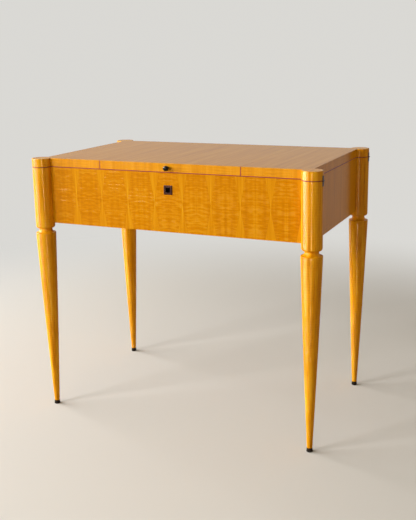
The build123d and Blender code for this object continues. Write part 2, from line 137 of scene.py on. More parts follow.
def add(tree, kind, inputs, **settings):
    """Places one shader node and returns its first output."""
    node = tree.nodes.new("ShaderNode" + kind)
    for name, value in settings.items():
        setattr(node, name, value)
    fill(tree, node, inputs)
    return node.outputs[0]


def calc(tree, operation, *values, clamp=False):
    """A sum on one, two or three numbers."""
    return add(tree, "Math", dict(enumerate(values)), operation=operation, use_clamp=clamp)


def vector(tree, operation, *values):
    """A sum on one or two places or directions."""
    return add(tree, "VectorMath", dict(enumerate(values)), operation=operation)


print("nodes can be wired")

# %% [markdown]
# ## Taking apart and comparing
#
# A pattern follows a piece when it is worked out from where a point lies and which way the
# surface faces. So places and directions are split into X, Y and Z, and then compared. A
# plain greater-than would leave a jagged edge, so most comparisons end in a soft step.

# %% Helpers that take apart and compare
def split(tree, place):
    """The X, Y and Z of a place or direction."""
    parts = tree.nodes.new("ShaderNodeSeparateXYZ")
    tree.links.new(place, parts.inputs[0])
    return parts.outputs


def distance(tree, along_one, along_other):
    """The straight distance, from two distances that are square to each other."""
    squares = [calc(tree, "MULTIPLY", leg, leg) for leg in (along_one, along_other)]
    return calc(tree, "SQRT", calc(tree, "ADD", *squares))


def agreement(tree, first, second):
    """How far two directions agree: 1 is the same way, 0 square, -1 the other way."""
    node = tree.nodes.new("ShaderNodeVectorMath")
    node.operation = "DOT_PRODUCT"
    fill(tree, node, {0: first, 1: second})
    return node.outputs["Value"]


def between(tree, value, low, high):
    """0 below low, 1 above high, and a soft step from one to the other."""
    return add(tree, "MapRange", {"Value": value, "From Min": low, "From Max": high},
               interpolation_type="SMOOTHSTEP")


print("values can be compared")

# %% [markdown]
# ## Mixing colours
#
# Colours are joined in two ways. A mix lays one over another by a share, as glue shows in a
# seam. A ramp turns one number into a scale of tones, and because its middle tone is chosen
# too, the wood doesn't look like two paints blended.

# %% Helpers for colour
def opaque(colour):
    """A colour that nothing shows through, as the sockets want it."""
    return (*colour, 1.0)


def mix(tree, share, first, second):
    """Two colours mixed: all of the first where share is 0, all of the second where it is 1."""
    return add(tree, "MixRGB", {"Fac": share, "Color1": first, "Color2": second})


def ramp(tree, value, *stops):
    """Colours along a scale: each stop is a place from 0 to 1 and a colour."""
    node = tree.nodes.new("ShaderNodeValToRGB")
    tree.links.new(value, node.inputs[0])
    marks = node.color_ramp.elements
    while len(marks) < len(stops):
        marks.new(0.5)
    for mark, (place, colour) in zip(marks, stops):
        mark.position = place
        mark.color = opaque(colour)
    return node.outputs[0]


print("colours can be mixed")

# %% [markdown]
# ## Where a point lies on the wood
#
# Wood figure has a direction: the fibres run one way, the ripple lies across them. Each
# finish first works out a sheet position in millimetres: X across the fibres, Y along them.
# On a flat board the veneer wraps over the edges like poured water, so the fibres that run
# from front to back on the top drop straight down at the front edge. The piece's own
# coordinates are used, so the figure stays on a lid when it opens.
#
# Every figure below is one stretched noise. Its size is given in millimetres: across, along,
# and through the wood. A veneer is all surface, so the third size hardly matters there.

# %% Sheet positions
MILLIMETRES = 1000.0
mostly = 0.5        # a face looks along an axis when its normal has at least this much of it


def own(tree, socket_name):
    """The piece's own coordinates in metres ("Object"), or its own normal ("Normal")."""
    return tree.nodes.new("ShaderNodeTexCoord").outputs[socket_name]


def in_millimetres(tree, place):
    """A place in metres, turned into millimetres."""
    return vector(tree, "MULTIPLY", place, (MILLIMETRES,) * 3)


def solid_place(tree):
    """The piece's own coordinates in millimetres, for wood and metal that is cut through."""
    return in_millimetres(tree, own(tree, "Object"))


def board_sheet(tree):
    """Flat boards: fibres front to back on top, and upright on the four edges."""
    x, y, z = split(tree, own(tree, "Object"))
    normal_x = split(tree, own(tree, "Normal"))[0]
    on_side = calc(tree, "GREATER_THAN", calc(tree, "ABSOLUTE", normal_x), mostly)
    across = add(tree, "Mix", {"Factor": on_side, "A": x, "B": y})
    run = calc(tree, "MULTIPLY", y, calc(tree, "SUBTRACT", 1.0, on_side))
    along = calc(tree, "ADD", z, run)
    return in_millimetres(tree, add(tree, "CombineXYZ", {"X": across, "Y": along}))


def figure(tree, place, size, detail=3.0, seed=0.0, wander=0.0):
    """Cloudy noise from 0 to 1, stretched to a size in millimetres along each axis."""
    scaled = vector(tree, "MULTIPLY", place, tuple(1.0 / length for length in size))
    return add(tree, "TexNoise", {"Vector": scaled, "W": seed, "Scale": 1.0, "Detail": detail,
                                  "Distortion": wander}, noise_dimensions="4D")


print("sheet helpers ready")

# %% [markdown]
# ## Honey sycamore
#
# The wood is read from far to near. Broad soft streaks come from the growth of the tree,
# hair-fine lines are the fibres, and short bands across them are the ripple that makers
# call fiddleback. They are added to a single lightness, and a colour ramp turns that into
# dark, middle and pale honey. A picture of wood wrapped round the pieces would be quicker,
# but it would repeat, and it could not turn every corner. The boards, the front and the
# legs each have their own three tones.

# %% Tones of the wood
board_honey = ((0.500, 0.175, 0.003), (0.710, 0.290, 0.006), (0.850, 0.430, 0.035))
front_honey = ((0.420, 0.126, 0.000), (0.590, 0.215, 0.000), (0.750, 0.365, 0.008))
leg_honey = ((0.500, 0.155, 0.000), (0.820, 0.335, 0.002), (0.980, 0.560, 0.030))
middle = 0.5


def lightness(tree, *layers):
    """Adds noises round a middle grey: each layer is a noise and how much it counts."""
    total = middle
    for noise, weight in layers:
        swing = calc(tree, "SUBTRACT", noise, middle)
        total = calc(tree, "MULTIPLY_ADD", swing, weight, total)
    return total


def tones(tree, value, three):
    """A lightness from 0 to 1 turned into dark, middle and pale wood."""
    dark, honey, pale = three
    return ramp(tree, value, (0.0, dark), (middle, honey), (1.0, pale))


print(f"the boards are {board_honey[1]} in the middle")

# %% [markdown]
# ## Varnish
#
# Varnish is a second clear layer over the wood, so the shader's coat is used: the wood
# below stays soft, and the coat gives the crisp window light. A bevel node rounds the sharp
# edges in the shading only, which lets each arris catch a thread of light.
#
# Turning and rubbing down leave rings and scratches finer than a hair. They are too small to
# see, but they spread a highlight into a long soft band. Bump could carry them, but it would
# also roughen the wood below, so they lean the normal of the coat alone: its sway.

# %% Coat and hairlines
arris_radius = 0.0006
bevel_samples = 4
fine_relief = 0.00001


def varnish(tree, shader, colour, relief, depth=fine_relief, under=0.40, lustre=0.0, coat=0.6,
            gloss=0.16, sway=None):
    """Clear gloss coat over a softly reflecting wood. Sway leans the polish up and down."""
    soft_edge = add(tree, "Bevel", {"Radius": arris_radius}, samples=bevel_samples)
    pores = add(tree, "Bump", {"Height": relief, "Strength": 1.0, "Distance": depth,
                               "Normal": soft_edge})
    polish = soft_edge
    if sway is not None:
        lean = vector(tree, "ADD", soft_edge, add(tree, "CombineXYZ", {"Z": sway}))
        polish = vector(tree, "NORMALIZE", lean)
    fill(tree, shader, {"Base Color": colour, "Roughness": under, "Specular IOR Level": lustre,
                        "Coat Weight": coat, "Coat Roughness": gloss, "Normal": pores,
                        "Coat Normal": polish})


def hairlines(tree, place, size, lean):
    """Rings or scratches finer than a hair that draw a highlight out along the piece."""
    scratch = figure(tree, place, size, detail=0.0, seed=21.0)
    return calc(tree, "MULTIPLY", calc(tree, "SUBTRACT", scratch, middle), lean)


print(f"arrises rounded by {arris_radius * MILLIMETRES} mm")

# %% [markdown]
# ## Veneer on the boards
#
# A wave is the plain way to draw ripple, but even waves look printed. So its place is pushed
# to and fro by a slow noise, and a second one lets it swell and fade in patches. The veneer
# of the lids and boards is growth, fibre and ripple together. On the upright faces it is a
# touch darker, and there the hairlines lie level.

# %% Ripple and veneer
drift_size = (70.0, 40.0, 50.0)
drift_turns = 14.0
patch_fades, patch_full = 0.38, 0.62
growth_size = (16.0, 320.0, 50.0)
fibre_size = (0.9, 60.0, 50.0)
ripple_patch = (38.0, 26.0, 50.0)
ripple_pitch = 7.6


def fiddleback(tree, place, along, pitch, patch, seed=7.0):
    """Ripple across the fibres, which swells and fades in patches."""
    drift = figure(tree, place, drift_size, detail=1.0, seed=seed)
    turns = calc(tree, "MULTIPLY_ADD", along, math.tau / pitch,
                 calc(tree, "MULTIPLY", drift, drift_turns))
    patches = figure(tree, place, patch, detail=2.0, seed=seed + 1.0)
    strength = between(tree, patches, patch_fades, patch_full)
    wave = calc(tree, "MULTIPLY", calc(tree, "SINE", turns), strength)
    return calc(tree, "MULTIPLY_ADD", wave, 0.5, middle)


def veneer_layers(tree, sheet):
    """Growth streaks, fibres and ripple on a flat sheet, each with its weight."""
    growth = figure(tree, sheet, growth_size, detail=2.0)
    fibre = figure(tree, sheet, fibre_size, detail=2.0, seed=3.0)
    ripple = fiddleback(tree, sheet, split(tree, sheet)[1], ripple_pitch, ripple_patch)
    return (growth, 0.9), (fibre, 0.45), (ripple, 0.20)


print(f"ripple every {ripple_pitch} mm")

# %% Veneered boards
board_hairs = (6.0, 0.12, 50.0)
board_sway = 1.4
upright_shade = -0.02


def sycamore_veneer():
    finish, tree, shader = new_finish("sycamore_veneer")
    sheet = board_sheet(tree)
    layers = veneer_layers(tree, sheet)
    fibre = layers[1][0]
    normal_z = split(tree, own(tree, "Normal"))[2]
    upright = calc(tree, "LESS_THAN", calc(tree, "ABSOLUTE", normal_z), mostly)
    hairs = hairlines(tree, sheet, board_hairs, board_sway)
    value = calc(tree, "MULTIPLY_ADD", upright, upright_shade, lightness(tree, *layers))
    varnish(tree, shader, tones(tree, value, board_honey), fibre,
            sway=calc(tree, "MULTIPLY", hairs, upright))
    return finish


finishes = {"sycamore_veneer": sycamore_veneer()}
print("boards veneered")

# %% [markdown]
# ## Turned legs
#
# The legs are solid wood, so their figure runs upright through the whole leg and shows on
# every side, as it does when a square blank is turned. Their varnish is thin and very
# glossy. The rings that the turner leaves go round the leg, so they spread the light up and
# down. They also lean a little upwards, because the lamps that shine in them hang high.

# %% Solid sycamore
leg_growth = (9.0, 9.0, 240.0)
leg_fibre = (1.8, 1.8, 70.0)
leg_patch = (30.0, 30.0, 24.0)
leg_pitch = 7.0
turning_rings = (600.0, 600.0, 0.12)
ring_sway, ring_lean = 1.1, 0.38


def sycamore_turned():
    finish, tree, shader = new_finish("sycamore_turned")
    solid = solid_place(tree)
    growth = figure(tree, solid, leg_growth)
    fibre = figure(tree, solid, leg_fibre, seed=3.0)
    ripple = fiddleback(tree, solid, split(tree, solid)[2], leg_pitch, leg_patch)
    value = lightness(tree, (growth, 1.6), (fibre, 1.1), (ripple, 0.10))
    rings = hairlines(tree, solid, turning_rings, ring_sway)
    varnish(tree, shader, tones(tree, value, leg_honey), fibre, depth=2 * fine_relief,
            coat=0.55, gloss=0.06, sway=calc(tree, "ADD", rings, ring_lean))
    return finish


finishes["sycamore_solid"] = sycamore_turned()
print("legs turned")

# %% [markdown]
# ## Lozenges on the front
#
# The front board is covered with nine tall lozenges. Each is two leaves of the same veneer
# opened like a book, so its ripple is mirrored at the seam in its middle. Where two lozenges
# meet, their slanted sides leave a paler wedge at the top and another at the bottom, which
# together look like an hourglass. The pattern is a sum, not a picture: the nearest lozenge
# is found by rounding, and its half width shrinks towards the two long edges of the board.

# %% Where the lozenges lie
apron_low, apron_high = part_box("front_apron")
apron_middle = (apron_low.z + apron_high.z) / 2 * MILLIMETRES
apron_half = (apron_high.z - apron_low.z) / 2 * MILLIMETRES
lozenge_pitch = 82.9
wedge_half = 15.0


def lozenge_layout(tree, x, z):
    """The lozenge's number, the way to its seam, how far up or down, and how deep inside."""
    number = calc(tree, "ROUND", calc(tree, "DIVIDE", x, lozenge_pitch))
    offset = calc(tree, "ABSOLUTE", calc(tree, "MULTIPLY_ADD", number, -lozenge_pitch, x))
    rise = calc(tree, "ABSOLUTE", calc(tree, "SUBTRACT", z, apron_middle))
    rise_share = calc(tree, "DIVIDE", rise, apron_half)
    reach = calc(tree, "MULTIPLY_ADD", rise_share, -wedge_half, lozenge_pitch / 2)
    return number, offset, rise_share, calc(tree, "SUBTRACT", reach, offset)


print(f"lozenges every {lozenge_pitch} mm, {2 * apron_half:.0f} mm tall")

# %% [markdown]
# ## Leaves and wedges
#
# On the boards the ripple is a wave. A leaf is small and seen close, where a wave would
# look too even, so its ripple is a noise stretched along bands that tilt a little. Each
# leaf reads the noise far from the others, so no two lozenges are alike. The wedges are
# plainer and paler. Where two lozenges meet, a pale thread is painted along the seam as a
# painted highlight, brightest at half height, the waist of the hourglass.

# %% Figure of a leaf and of a wedge
leaves_apart = 97.0
band_tilt = 0.04
band_size, band_low, band_high = (26.0, 5.2, 1.0), 0.36, 0.64
leaf_streak = (10.0, 170.0, 1.0)
leaf_fibre = (0.9, 55.0, 1.0)
wedge_streak = (7.0, 220.0, 50.0)
wedge_paler = 0.12
# painted highlight along the seams between lozenges
seam_highlight_strength, seam_highlight_ends, seam_highlight_full = 0.34, 2.2, 0.3


def leaf_figure(tree, number, offset, z):
    """A leaf's lightness, its fibre and the slope of its ripple."""
    apart = calc(tree, "MULTIPLY", number, leaves_apart)
    leaf = add(tree, "CombineXYZ", {"X": offset, "Y": z, "Z": apart})
    tilted = calc(tree, "MULTIPLY_ADD", offset, band_tilt, z)
    band_place = add(tree, "CombineXYZ", {"X": offset, "Y": tilted, "Z": apart})
    band = figure(tree, band_place, band_size, detail=1.0, seed=2.0, wander=0.5)
    streak = figure(tree, leaf, leaf_streak, detail=0.5, seed=5.0)
    fibre = figure(tree, leaf, leaf_fibre, detail=2.0, seed=9.0)
    ripple = between(tree, band, band_low, band_high)
    value = lightness(tree, (ripple, 0.23), (streak, 0.58), (fibre, 0.18))
    return value, fibre, calc(tree, "SUBTRACT", band, middle)


def wedge_figure(tree, x, z, fibre):
    """A wedge's lightness: streaks and the fibre, and paler than the leaves."""
    sheet = add(tree, "CombineXYZ", {"X": x, "Y": z})
    streak = figure(tree, sheet, wedge_streak, detail=2.0, seed=12.0)
    return calc(tree, "ADD", lightness(tree, (streak, 0.8), (fibre, 0.35)), wedge_paler)


def painted_seam_highlight(tree, offset, rise_share):
    """A painted highlight along the seam between two lozenges, brightest at half height."""
    from_thread = calc(tree, "SUBTRACT", lozenge_pitch / 2, offset)
    waist = calc(tree, "MULTIPLY", calc(tree, "SUBTRACT", 1.0, rise_share), seam_highlight_strength)
    return calc(tree, "MULTIPLY", between(tree, from_thread, seam_highlight_ends, seam_highlight_full), waist)


print("leaves and wedges cut")

# %% [markdown]
# ## Laying the front
#
# The leaves and wedges are laid edge to edge, with a dark hairline of glue in each seam.
# Ripple also shows as sheen: its bands stand at a slight angle to each other, so the polish
# over them sways. The edges of the board and its back have plain veneer, and the veneer seen
# through the keyhole is painted dark: painted shade inside the hole.

# %% The front board
side_blur = 0.25
seam_half, seam_share = 0.18, 0.45
sheen_sway = 1.60
plate_low, plate_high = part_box("escutcheon")
keyhole_height = (plate_low.z + plate_high.z) / 2 * MILLIMETRES
keyhole_clear, keyhole_inside = 11.5, 10.5
# painted shade: the veneer seen through the keyhole is darkened to stand for the hole's shade
keyhole_painted_shade = (0.02, 0.01, 0.006)


def laid_front(tree, x, z):
    """The pattern's colour, its fibre and the sway of its polish."""
    number, offset, rise_share, depth_in = lozenge_layout(tree, x, z)
    in_lozenge = between(tree, depth_in, -side_blur, side_blur)
    leaf, fibre, slope = leaf_figure(tree, number, offset, z)
    wedge = wedge_figure(tree, x, z, fibre)
    value = add(tree, "Mix", {"Factor": in_lozenge, "A": wedge, "B": leaf})
    # painted highlight laid along the seam
    value = calc(tree, "ADD", value, painted_seam_highlight(tree, offset, rise_share))
    seam = calc(tree, "MINIMUM", calc(tree, "ABSOLUTE", depth_in), offset)
    seam_dark = between(tree, seam, seam_half * 2, seam_half)
    colour = mix(tree, calc(tree, "MULTIPLY", seam_dark, seam_share),
                 tones(tree, value, front_honey), opaque(front_honey[0]))
    sheen = calc(tree, "MULTIPLY", calc(tree, "MULTIPLY", slope, in_lozenge), sheen_sway)
    return colour, fibre, sheen


def lozenge_veneer():
    finish, tree, shader = new_finish("lozenge_veneer")
    x, _, z = split(tree, solid_place(tree))
    laid, fibre, sheen = laid_front(tree, x, z)
    plain = tones(tree, lightness(tree, *veneer_layers(tree, board_sheet(tree))), board_honey)
    on_front = calc(tree, "LESS_THAN", split(tree, own(tree, "Normal"))[1], -mostly)
    from_keyhole = distance(tree, x, calc(tree, "SUBTRACT", z, keyhole_height))
    # painted shade inside the keyhole, laid over the wood
    wood = mix(tree, between(tree, from_keyhole, keyhole_clear, keyhole_inside),
               mix(tree, on_front, plain, laid), opaque(keyhole_painted_shade))
    varnish(tree, shader, wood, fibre, coat=0.35, gloss=0.20,
            sway=calc(tree, "MULTIPLY", sheen, on_front))
    return finish


finishes["sycamore_lozenge"] = lozenge_veneer()
print(f"keyhole {keyhole_height:.1f} mm above the floor")

# %% [markdown]
# ## Amaranth, inner wood, black wood
#
# Three plain woods remain. Amaranth is the purple line let into the lids. The boards that
# nobody sees are a pale waxed wood with open pores. The knob and the glides are blackened:
# the knob is rubbed to a gloss, the glides are left satin, and both keep a faint grain.

# %% Other woods
pore_size = (0.5, 9.0, 50.0)
dark_stop, pale_stop = 0.1, 0.9


def plain_wood(name, dark, pale, streaks, depth=5 * fine_relief, gloss=0.12, **polish):
    """A quiet wood with one scale of streaks and one of pores."""
    finish, tree, shader = new_finish(name)
    sheet = board_sheet(tree)
    streak = figure(tree, sheet, streaks, seed=1.0)
    pore = figure(tree, sheet, pore_size, detail=1.0, seed=4.0)
    value = lightness(tree, (streak, 1.3), (pore, 0.6))
    colour = ramp(tree, value, (dark_stop, dark), (pale_stop, pale))
    varnish(tree, shader, colour, pore, depth=depth, gloss=gloss, lustre=0.2, **polish)
    return finish


finishes["amaranth"] = plain_wood(
    "amaranth", (0.240, 0.034, 0.036), (0.420, 0.070, 0.072), (1.2, 40.0, 50.0),
    under=0.45, coat=0.3)
finishes["inner_wood"] = plain_wood(
    "waxed_inner_wood", (0.33, 0.18, 0.075), (0.62, 0.42, 0.22), (6.0, 160.0, 50.0),
    under=0.55, coat=0.0, depth=12 * fine_relief)
finishes["black_lacquer"] = plain_wood(
    "black_lacquer", (0.004, 0.0035, 0.003), (0.012, 0.010, 0.009), (2.0, 14.0, 50.0),
    under=0.30, coat=0.3, gloss=0.08, depth=fine_relief)
finishes["black_glide"] = plain_wood(
    "blackened_glide", (0.008, 0.006, 0.005), (0.030, 0.024, 0.020), (1.5, 9.0, 50.0),
    under=0.48, coat=0.15, gloss=0.25)
print(f"{len(finishes)} finishes so far")

# %% [markdown]
# ## Metals
#
# Metal has no colour of its own below the surface, so the shader's metallic value is full
# and the colour tints the reflection. Old bronzed brass is brown-black on the flats and
# lighter on the edges: partly rubbed wear and partly a painted highlight, where edges catch
# light. These edges are found by asking a wide bevel node where its normal leaves the true
# one. Lock parts are brushed in one direction, and their screws and the pin for the key are
# steel.

# %% Metal finishes
patina_size = (3.0, 3.0, 3.0)
brush_size = (0.25, 0.25, 7.0)
# painted highlight: the edge mask lightens the edges that catch light, together with their
# rubbed wear
worn_lit_edge_radius, worn_lit_edge_samples = 0.0012, 6
worn_lit_edge_starts, worn_lit_edge_full = 0.985, 0.80
patina_starts, patina_full = 0.58, 0.75
wear_and_highlight_share = 0.8
brush_roughness = 0.25
metal_edge = 0.0003


def wear_and_edge_highlight(tree, solid):
    """Where the metal is bright: on its edges, as rubbed wear and painted highlight, and in
    small clouds on its flats.
    """
    wide_edge = add(tree, "Bevel", {"Radius": worn_lit_edge_radius}, samples=worn_lit_edge_samples)
    true_normal = tree.nodes.new("ShaderNodeNewGeometry").outputs["True Normal"]
    # edges lightened as rubbed wear and painted highlight
    worn_and_lit_edges = between(tree, agreement(tree, wide_edge, true_normal), worn_lit_edge_starts, worn_lit_edge_full)
    patina = figure(tree, solid, patina_size, detail=4.0)
    return calc(tree, "ADD", worn_and_lit_edges, between(tree, patina, patina_starts, patina_full),
                clamp=True)


def metal(name, dull, bright, rough):
    """A metal with a cloudy patina, brush marks and rubbed edges."""
    finish, tree, shader = new_finish(name)
    solid = solid_place(tree)
    wear_and_highlight = calc(tree, "MULTIPLY", wear_and_edge_highlight(tree, solid), wear_and_highlight_share)
    brushed = figure(tree, solid, brush_size, detail=2.0, seed=5.0)
    roughness = calc(tree, "MULTIPLY_ADD", calc(tree, "SUBTRACT", brushed, middle),
                     brush_roughness, rough)
    edge = add(tree, "Bevel", {"Radius": metal_edge}, samples=bevel_samples)
    marks = add(tree, "Bump", {"Height": brushed, "Strength": 1.0, "Distance": fine_relief,
                               "Normal": edge})
    fill(tree, shader, {"Base Color": mix(tree, wear_and_highlight, opaque(dull), opaque(bright)),
                        "Metallic": 1.0, "Roughness": roughness, "Normal": marks})
    return finish


finishes["bronzed_brass"] = metal("bronzed_brass", (0.034, 0.019, 0.014),
                                  (0.38, 0.22, 0.16), rough=0.36)
finishes["lock_brass"] = metal("lock_brass", (0.50, 0.33, 0.11), (0.80, 0.60, 0.27), rough=0.34)
finishes["steel"] = metal("lock_steel", (0.30, 0.29, 0.28), (0.62, 0.61, 0.60), rough=0.32)
print(f"{len(finishes)} finishes now")

# %% [markdown]
# ## Key plate and mirror
#
# The square key plate is the same bronzed brass with a lighter border, partly its own colour
# and partly a painted reflection, and the sunk square round the keyhole is painted nearly
# black: dark patina and painted shade in the recess together. Its finish starts as a metal, and
# the square is laid over the colour. The mirror is a smooth metal with a very faint cloud in
# its silvering.

# %% Plate and silver
sunk_edge, sunk_inside = 7.3, 6.7
# dark patina together with painted shade for the sunk square round the keyhole
sunk_patina_and_shade = (0.012, 0.006, 0.005)
cloud_size = (90.0, 90.0, 90.0)
cloud_roughness = 0.04


def bronzed_plate():
    # the border colour is lighter than the other bronzed brass, partly a painted reflection of
    # the light it catches
    finish = metal("bronzed_plate", (0.170, 0.075, 0.066), (0.62, 0.38, 0.33), rough=0.34)
    tree = finish.node_tree
    shader = tree.nodes["Principled BSDF"]
    x, _, z = split(tree, solid_place(tree))
    from_keyhole = calc(tree, "MAXIMUM", calc(tree, "ABSOLUTE", x),
                        calc(tree, "ABSOLUTE", calc(tree, "SUBTRACT", z, keyhole_height)))
    # painted shade: the sunk square is darkened, along with its patina
    sunk = between(tree, from_keyhole, sunk_edge, sunk_inside)
    border = shader.inputs["Base Color"].links[0].from_socket
    fill(tree, shader, {"Base Color": mix(tree, sunk, border, opaque(sunk_patina_and_shade))})
    return finish


def mirror_silver():
    finish, tree, shader = new_finish("mirror_silver")
    cloud = figure(tree, board_sheet(tree), cloud_size)
    colour = ramp(tree, cloud, (0.2, (0.80, 0.83, 0.82)), (0.8, (0.90, 0.92, 0.91)))
    roughness = calc(tree, "MULTIPLY", cloud, cloud_roughness)
    fill(tree, shader, {"Base Color": colour, "Metallic": 1.0, "Roughness": roughness})
    return finish


keyhole_plate = bronzed_plate()
finishes["mirror_glass"] = mirror_silver()
print(f"{len(finishes)} finishes and one for the key plate")

# %% [markdown]
# ## Giving every piece its finish
#
# The record of the table already names a material slot for every piece, so the finishes are
# handed out from it. That way no piece is forgotten, and the loop stops if a slot is new.

# %% Hand out the finishes
slot_of = {part["node"]: part["material_slot"] for part in frame["record"]["subparts"]}

for name, piece in pieces.items():
    piece.data.materials.clear()
    plate = name == "escutcheon"
    piece.data.materials.append(keyhole_plate if plate else finishes[slot_of[name]])
print(f"{len(slot_of)} pieces finished")

# %% [markdown]
# ## Slotted screws
#
# The screws of the CAD model are plain cones on rods, because a slot would only cost it
# faces. Old screws have one straight slot, and no two of them stop at the same angle.
# A boolean cut would make the slot, but it leaves untidy triangles on such a small head.
# Here each screw is drawn as rings, from the rim down to the point. The slot splits the two
# upper rings into halves, so it is part of the mesh from the start.

# %% Rings of a screw
millimetre = 0.001
slot_half = 0.28 * millimetre
slot_depth = 0.45 * millimetre
point_length = 1.6 * millimetre
point_share = 0.2               # the point's tip against the shank
arc_steps = 12


def ring_turns(radius):
    """Angles round a ring: the arc on one side of the slot, then the arc on the other."""
    start = math.asin(slot_half / radius)
    arc = [start + (math.pi - 2 * start) * step / (arc_steps - 1) for step in range(arc_steps)]
    return arc + [turn + math.pi for turn in arc]


def screw_rings(shape, place, head_radius, head_height, shank_radius, length):
    """The screw's rings of points, from the rim of its head to its tip."""
    under_slot = head_radius - (head_radius - shank_radius) * slot_depth / head_height
    rim, inner = ring_turns(head_radius), ring_turns(under_slot)
    levels = ((head_radius, 0.0, rim), (under_slot, slot_depth, inner),
              (shank_radius, head_height, inner), (shank_radius, length - point_length, inner),
              (shank_radius * point_share, length, inner))
    return [[shape.verts.new(place @ Vector((radius * math.cos(turn), radius * math.sin(turn),
                                             -depth))) for turn in turns]
            for radius, depth, turns in levels]


def slotted_screw(shape, place, screw):
    """Adds one closed screw to a mesh: its head's face lies at the place, looking along Z."""
    rings = screw_rings(shape, place, **screw)
    top, slot_floor = rings[0], rings[1]
    count = len(top)
    arc_ends = (0, arc_steps - 1, arc_steps, count - 1)
    for upper, lower in zip(rings, rings[1:]):
        for here in range(count):
            after = (here + 1) % count
            if upper is top and here in arc_ends[1::2]:
                continue
            shape.faces.new((upper[here], upper[after], lower[after], lower[here]))
    for first, end in (arc_ends[:2], arc_ends[2:]):
        shape.faces.new(top[first:end + 1])
        shape.faces.new((top[first], top[end], slot_floor[end], slot_floor[first]))
    shape.faces.new([slot_floor[spot] for spot in arc_ends])
    shape.faces.new(rings[-1])


print(f"a screw has rings of {2 * arc_steps} points")

# %% [markdown]
# ## Driving the screws
#
# A screw takes the place of the plain one and rides on the same body, so it turns with its
# lid. Where it goes is read from the box of the plain screws: their heads touch its corners.

# %% Where the screws go
def screw_sizes(**sizes):
    """A screw's sizes, from millimetres to metres."""
    return {part: size * millimetre for part, size in sizes.items()}


hinge_screw = screw_sizes(head_radius=2.0, head_height=1.2, shank_radius=1.1, length=8.0)
lock_screw = screw_sizes(head_radius=2.4, head_height=1.4, shank_radius=1.2, length=9.0)
one_head_wide = 2.5             # head radii: a narrower box has room for one screw only
first_turn, next_turn = 0.6, 1.9


def screw_places(node, outwards, head_radius):
    """Where the heads of a node's screws are, read from the corners of its box."""
    low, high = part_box(node)
    spots = []
    for axis in range(3):
        if outwards[axis]:
            spots.append([high[axis] if outwards[axis] > 0 else low[axis]])
        elif high[axis] - low[axis] < one_head_wide * head_radius:
            spots.append([(low[axis] + high[axis]) / 2])
        else:
            spots.append([low[axis] + head_radius, high[axis] - head_radius])
    return [Vector((x, y, z)) for x in spots[0] for y in spots[1] for z in spots[2]]


print(f"hinge screws {hinge_screw['length'] / millimetre:.0f} mm long")


# %% Drive them in
def set_screws(node, body, outwards, screw=hinge_screw):
    """Replaces the plain screws of a node by slotted ones, each stopped at its own angle."""
    shape = bmesh.new()
    aim = Vector(outwards).to_track_quat("Z", "Y").to_matrix().to_4x4()
    places = screw_places(node, outwards, screw["head_radius"])
    for count, spot in enumerate(places):
        turn = Matrix.Rotation(first_turn + next_turn * count, 4, "Z")
        slotted_screw(shape, Matrix.Translation(spot) @ aim @ turn, screw)
    bmesh.ops.recalc_face_normals(shape, faces=shape.faces)
    mesh = bpy.data.meshes.new("slotted_" + node)
    shape.to_mesh(mesh)
    shape.free()
    mesh.materials.append(finishes[slot_of[node]])
    piece = bpy.data.objects.new("slotted_" + node, mesh)
    bpy.context.scene.collection.objects.link(piece)
    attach(piece, body)
    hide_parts(node)
    return len(places)


screw_count = 0
for side, lid, outwards in (("left", "left_lid", (-1, 0, 0)), ("right", "right_lid", (1, 0, 0)),
                            ("rear", "centre_lid", (0, 1, 0))):
    screw_count += set_screws(f"{side}_hinge_case_screws", "case", outwards)
    screw_count += set_screws(f"{side}_hinge_lid_screws", lid, outwards)
screw_count += set_screws("strike_screws", "centre_lid", (0, 0, -1))
screw_count += set_screws("lock_screws", "case", (0, 1, 0), lock_screw)
print(f"{screw_count} slotted screws")

# %% [markdown]
# ## The room
#
# The room is two brightnesses in one. What the camera, the varnish and the mirror see is a
# pale wall, and what falls on the wood is dimmer and warmer, so that the lamps keep their
# effect. A light path node tells one kind of ray from the other. In reflections the wall
# fades from the window end to the other, so the shade side of a leg keeps its warm colour.

# %% The pale room
wall = (0.70, 0.69, 0.66)
window_end = (-0.9, 0.44, 0.0)
dim_from, bright_from = -0.60, 0.80
dim_end = 0.20
room_light = (1.0, 0.87, 0.70)
room_strength = 0.08


def room_level(tree, towards):
    """How bright the wall is in a direction: full at the window end, dim at the other."""
    share = between(tree, agreement(tree, towards, window_end), dim_from, bright_from)
    return add(tree, "MapRange", {"Value": share, "To Min": dim_end, "To Max": 1.0})


world = bpy.data.worlds.new("pale_room")
bpy.context.scene.world = world
world.use_nodes = True
air = world.node_tree
air.nodes.clear()
ray = air.nodes.new("ShaderNodeLightPath").outputs
seen = calc(air, "MAXIMUM", ray["Is Camera Ray"], ray["Is Glossy Ray"])
seen = calc(air, "MAXIMUM", seen, ray["Is Transmission Ray"])
lit = add(air, "Background", {"Color": opaque(room_light), "Strength": room_strength})
towards = air.nodes.new("ShaderNodeTexCoord").outputs["Generated"]
level = add(air, "Mix", {"Factor": ray["Is Camera Ray"], "A": room_level(air, towards),
                         "B": 1.0})
plain_wall = add(air, "Background", {"Color": opaque(wall), "Strength": level})
both = add(air, "MixShader", {0: seen, 1: lit, 2: plain_wall})
fill(air, air.nodes.new("ShaderNodeOutputWorld"), {"Surface": both})
bpy.context.scene.view_settings.view_transform = "Standard"
print(f"room light {room_strength}")

# %% [markdown]
# ## The floor
#
# The floor is a wide disc. Near the table it is plain and takes the shadows. Farther out it
# melts into the colour of the wall, so no horizon is seen. The warm light that it throws
# back at the table is that of a straw mat, although the camera sees it pale. From below it
# is clear, so that the underside can be looked at.

# %% Lay the floor
floor_radius, floor_sides = 9.0, 96
melts_from, melted_at = 1.0, 2.3
floor_seen = (0.74, 0.71, 0.66)
floor_unseen = (0.34, 0.24, 0.14)


def bare_finish(name):
    """A material with an empty node tree."""
    finish, tree, _ = new_finish(name)
    tree.nodes.clear()
    return finish, tree


